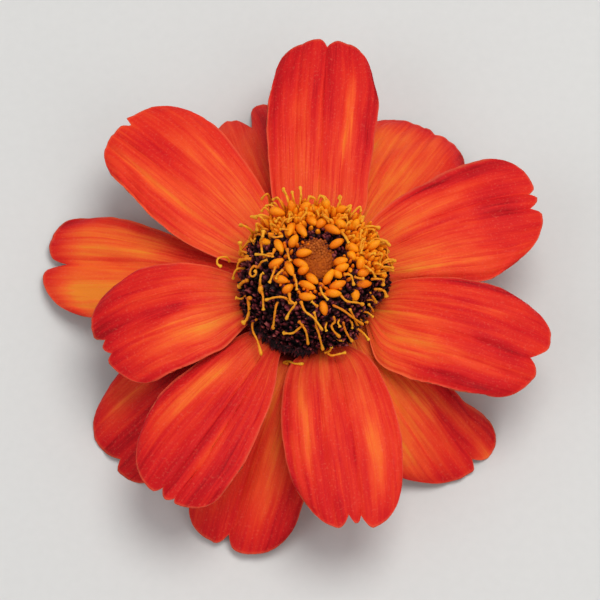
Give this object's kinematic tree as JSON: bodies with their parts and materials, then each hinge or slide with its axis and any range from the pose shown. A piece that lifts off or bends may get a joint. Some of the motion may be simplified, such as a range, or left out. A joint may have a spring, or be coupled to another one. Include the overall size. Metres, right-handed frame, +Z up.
{
  "type": "zinnia flower",
  "caption": "Zinnia flower head with blunt notched petals in two layers round a dark dome of small yellow florets, on a scaly green cup with a cut stem.",
  "frame": {"origin": "middle of the bounding box's bottom, on the surface that the lowest petal tips touch", "axes": "+Z up along the flower head's axis, from the cut stem to the disc; -Y towards the viewer of the picture; +X to the right in it"},
  "size_m": [0.0594, 0.062, 0.0192],
  "materials": {
    "petal_upper": "soft satin, velvety, fine lengthwise veins",
    "petal_lower": "soft satin, velvety, fine lengthwise veins",
    "stem": "matt, downy",
    "bracts": "satin, dark fringed rims",
    "paleae": "satin",
    "florets": "waxy satin",
    "buds": "matt"
  },
  "bodies": {
    "root": {"stem_stub": "stem", "involucre": "bracts", "petal_upper_1": "petal_upper", "petal_upper_2": "petal_upper", "petal_upper_3": "petal_upper", "petal_upper_4": "petal_upper", "petal_upper_5": "petal_upper", "petal_upper_6": "petal_upper", "petal_upper_7": "petal_upper", "petal_lower_1": "petal_lower", "petal_lower_2": "petal_lower", "petal_lower_3": "petal_lower", "petal_lower_4": "petal_lower", "petal_lower_5": "petal_lower", "petal_lower_6": "petal_lower", "disc_paleae": "paleae", "disc_florets": "florets", "disc_buds": "buds"}
  },
  "joints": []
}
